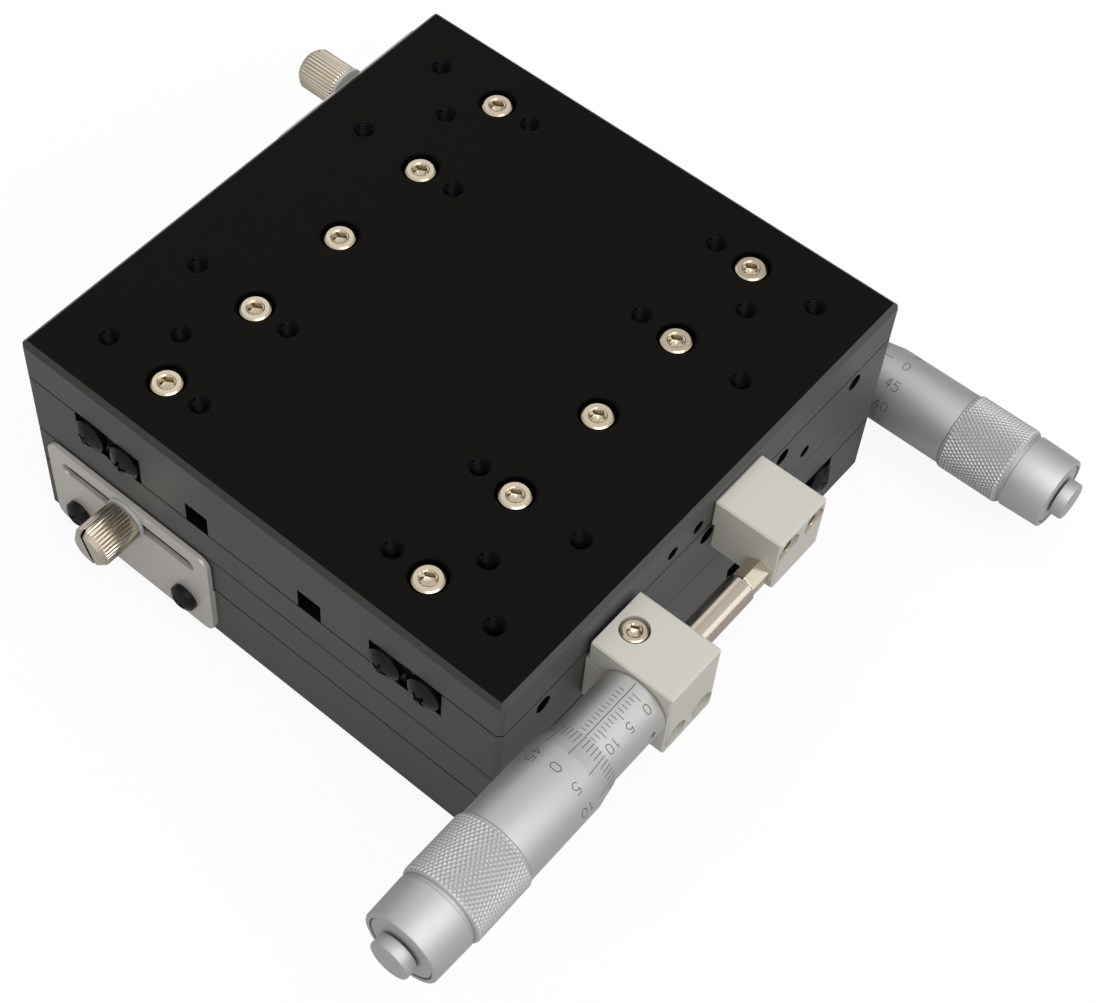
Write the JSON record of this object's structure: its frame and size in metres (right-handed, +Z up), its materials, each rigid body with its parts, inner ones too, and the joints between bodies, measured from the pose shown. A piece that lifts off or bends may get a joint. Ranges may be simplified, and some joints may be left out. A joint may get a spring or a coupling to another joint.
{
  "type": "two-axis micrometer stage",
  "caption": "Square two-axis crossed-roller stage: two stacked sliding tables, each driven by a micrometer head against springs and held by a slotted lock plate with a thumb screw.",
  "frame": {"origin": "centre of the underside of the lower base, with both tables at mid-travel", "axes": "+X points from the centre towards the lower thimble, along the lower table's travel; +Y points away from the upper thimble, along the upper table's travel; +Z is up"},
  "size_m": [0.1817, 0.1905, 0.056],
  "materials": {
    "black_anodised": "black anodised, matt",
    "pale_anodised": "pale anodised, fine satin",
    "satin_chrome": "satin chrome plate",
    "ground_steel": "hardened and ground",
    "nickel_screw": "warm nickel plate",
    "black_screw": "black oxide",
    "plain_steel": "bright drawn",
    "brass": "turned, bright",
    "stainless_plate": "stainless sheet, satin",
    "knob_nickel": "nickel plate, knurled",
    "white_nylon": "white nylon"
  },
  "bodies": {
    "fixed_base": {"lower_base": "black_anodised", "lower_base_rails": "ground_steel", "lower_base_rail_screws": "nickel_screw", "lower_base_end_screws": "black_screw", "lower_preload_screws": "black_screw", "lower_base_spring_pins": "plain_steel", "lower_springs": "plain_steel", "lower_micrometer_block": "pale_anodised", "lower_block_screws": "nickel_screw", "lower_clamp_screw": "nickel_screw", "lower_sleeve": "satin_chrome", "lower_sleeve_nut": "brass", "lower_lock_plate": "stainless_plate", "lower_lock_plate_screws": "black_screw"},
    "lower_spindle": {"lower_spindle": "ground_steel"},
    "lower_thimble": {"lower_thimble": "satin_chrome", "lower_drive_screw": "ground_steel", "lower_thimble_cap": "satin_chrome"},
    "lower_ratchet": {"lower_ratchet_button": "satin_chrome"},
    "lower_cages": {"lower_rollers": "ground_steel", "lower_roller_cages": "brass"},
    "middle_table": {"lower_table": "black_anodised", "lower_table_rails": "ground_steel", "lower_anvil_block": "pale_anodised", "lower_anvil_screws": "nickel_screw", "lower_anvil_pin": "ground_steel", "middle_rail_screws": "nickel_screw", "middle_end_screws": "black_screw", "middle_spring_pins": "plain_steel", "join_screws": "nickel_screw", "upper_base": "black_anodised", "upper_base_rails": "ground_steel", "upper_preload_screws": "black_screw", "upper_springs": "plain_steel", "upper_micrometer_block": "pale_anodised", "upper_block_screws": "nickel_screw", "upper_clamp_screw": "nickel_screw", "upper_sleeve": "satin_chrome", "upper_sleeve_nut": "brass", "upper_lock_plate": "stainless_plate", "upper_lock_plate_screws": "black_screw"},
    "lower_washer": {"lower_lock_washer": "white_nylon"},
    "lower_knob": {"lower_lock_knob": "knob_nickel"},
    "upper_spindle": {"upper_spindle": "ground_steel"},
    "upper_thimble": {"upper_thimble": "satin_chrome", "upper_drive_screw": "ground_steel", "upper_thimble_cap": "satin_chrome"},
    "upper_ratchet": {"upper_ratchet_button": "satin_chrome"},
    "upper_cages": {"upper_rollers": "ground_steel", "upper_roller_cages": "brass"},
    "top_table": {"upper_table": "black_anodised", "upper_table_rails": "ground_steel", "upper_table_rail_screws": "nickel_screw", "upper_table_end_screws": "black_screw", "upper_table_spring_pins": "plain_steel", "upper_anvil_block": "pale_anodised", "upper_anvil_screws": "nickel_screw", "upper_anvil_pin": "ground_steel"},
    "upper_washer": {"upper_lock_washer": "white_nylon"},
    "upper_knob": {"upper_lock_knob": "knob_nickel"}
  },
  "joints": [
    {"name": "lower_spindle_slide", "type": "slide", "parent": "fixed_base", "child": "lower_spindle", "axis": [-1, 0, 0], "range_m": [-0.0125, 0.0125]},
    {"name": "lower_thimble_turn", "type": "hinge", "parent": "lower_spindle", "child": "lower_thimble", "pos_m": [0.0895, 0.07475, 0.014], "axis": [-1, 0, 0], "range_deg": [-9000, 9000]},
    {"name": "lower_ratchet_turn", "type": "hinge", "parent": "lower_thimble", "child": "lower_ratchet", "pos_m": [0.0895, 0.07475, 0.014], "axis": [-1, 0, 0], "continuous": true},
    {"name": "lower_cage_slide", "type": "slide", "parent": "fixed_base", "child": "lower_cages", "axis": [-1, 0, 0], "range_m": [-0.00625, 0.00625]},
    {"name": "lower_table_slide", "type": "slide", "parent": "fixed_base", "child": "middle_table", "axis": [-1, 0, 0], "range_m": [-0.0125, 0.0125], "deforming": ["lower_springs"]},
    {"name": "lower_washer_slide", "type": "slide", "parent": "middle_table", "child": "lower_washer", "axis": [0, -1, 0], "range_m": [0, 0.0005]},
    {"name": "lower_knob_turn", "type": "hinge", "parent": "lower_washer", "child": "lower_knob", "pos_m": [-0.035, -0.0648, 0.0225], "axis": [0, -1, 0], "range_deg": [0, 360]},
    {"name": "upper_spindle_slide", "type": "slide", "parent": "middle_table", "child": "upper_spindle", "axis": [0, 1, 0], "range_m": [-0.0125, 0.0125]},
    {"name": "upper_thimble_turn", "type": "hinge", "parent": "upper_spindle", "child": "upper_thimble", "pos_m": [0.07475, -0.0895, 0.042], "axis": [0, 1, 0], "range_deg": [-9000, 9000]},
    {"name": "upper_ratchet_turn", "type": "hinge", "parent": "upper_thimble", "child": "upper_ratchet", "pos_m": [0.07475, -0.0895, 0.042], "axis": [0, 1, 0], "continuous": true},
    {"name": "upper_cage_slide", "type": "slide", "parent": "middle_table", "child": "upper_cages", "axis": [0, 1, 0], "range_m": [-0.00625, 0.00625]},
    {"name": "upper_table_slide", "type": "slide", "parent": "middle_table", "child": "top_table", "axis": [0, 1, 0], "range_m": [-0.0125, 0.0125], "deforming": ["upper_springs"]},
    {"name": "upper_washer_slide", "type": "slide", "parent": "top_table", "child": "upper_washer", "axis": [-1, 0, 0], "range_m": [0, 0.0005]},
    {"name": "upper_knob_turn", "type": "hinge", "parent": "upper_washer", "child": "upper_knob", "pos_m": [-0.0648, 0.035, 0.0505], "axis": [-1, 0, 0], "range_deg": [0, 360]}
  ],
  "couplings": [
    {"joint": "lower_spindle_slide", "follows": "lower_table_slide", "ratio": 1},
    {"joint": "lower_thimble_turn", "follows": "lower_table_slide", "rad_per_m": 12566},
    {"joint": "lower_cage_slide", "follows": "lower_table_slide", "ratio": 0.5},
    {"joint": "lower_knob_turn", "follows": "lower_washer_slide", "rad_per_m": 12566},
    {"joint": "upper_spindle_slide", "follows": "upper_table_slide", "ratio": 1},
    {"joint": "upper_thimble_turn", "follows": "upper_table_slide", "rad_per_m": 12566},
    {"joint": "upper_cage_slide", "follows": "upper_table_slide", "ratio": 0.5},
    {"joint": "upper_knob_turn", "follows": "upper_washer_slide", "rad_per_m": 12566}
  ]
}
